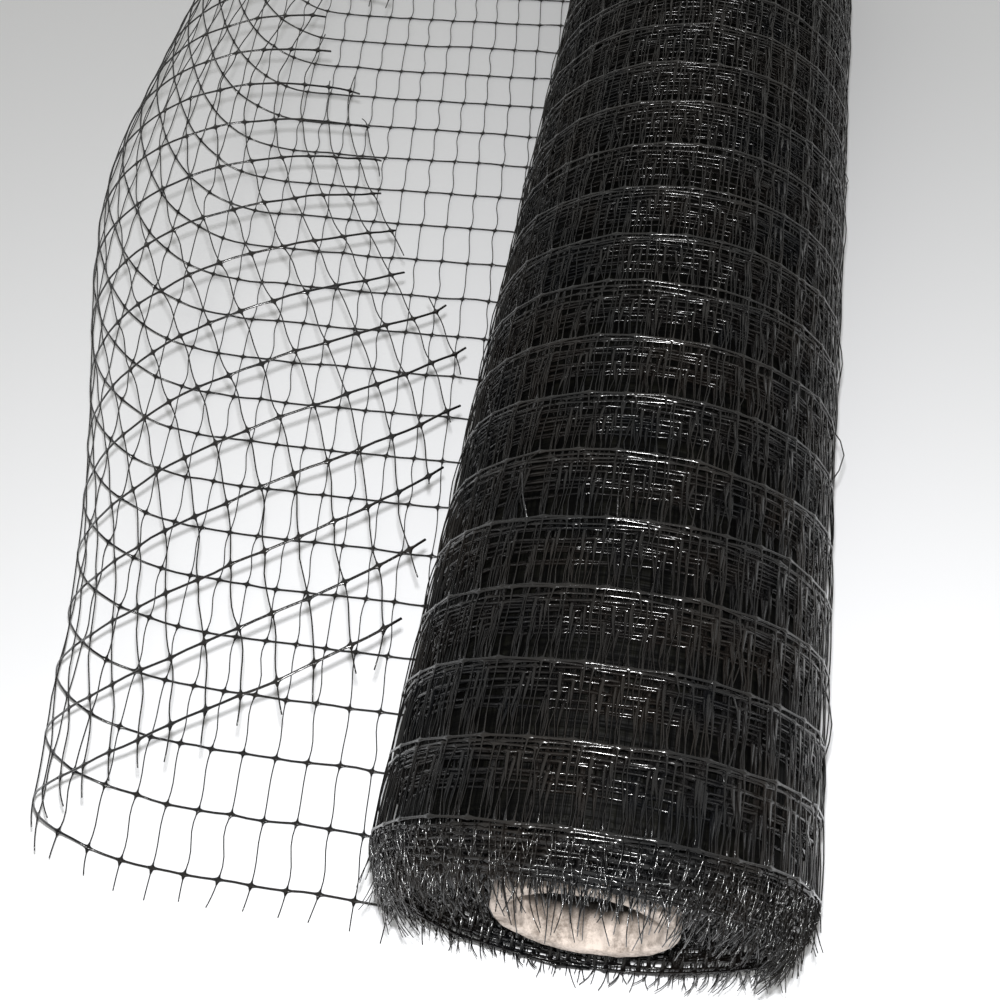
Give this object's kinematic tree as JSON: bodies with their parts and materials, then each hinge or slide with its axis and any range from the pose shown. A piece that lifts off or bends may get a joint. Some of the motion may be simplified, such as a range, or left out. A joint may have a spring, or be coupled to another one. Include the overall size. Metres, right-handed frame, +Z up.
{
  "type": "roll of plastic netting",
  "caption": "Roll of black stretched plastic netting on a paper tube, lying on its side with its loose end folded back on the floor.",
  "frame": {"origin": "on the floor, at the middle of the whole part's footprint", "axes": "+Y along the roll's axis, away from the viewer; +X from the loose end towards the roll; +Z up"},
  "size_m": [0.5314, 1.1524, 0.2213],
  "materials": {
    "netting": "black extruded and stretched polypropylene, semi-gloss",
    "paper_tube": "plain spiral-wound grey-brown paper, dull"
  },
  "bodies": {
    "root": {"core_tube": "paper_tube", "net_roll": "netting", "loose_end_floor": "netting", "loose_end_fold": "netting", "loose_end_top": "netting"}
  },
  "joints": []
}
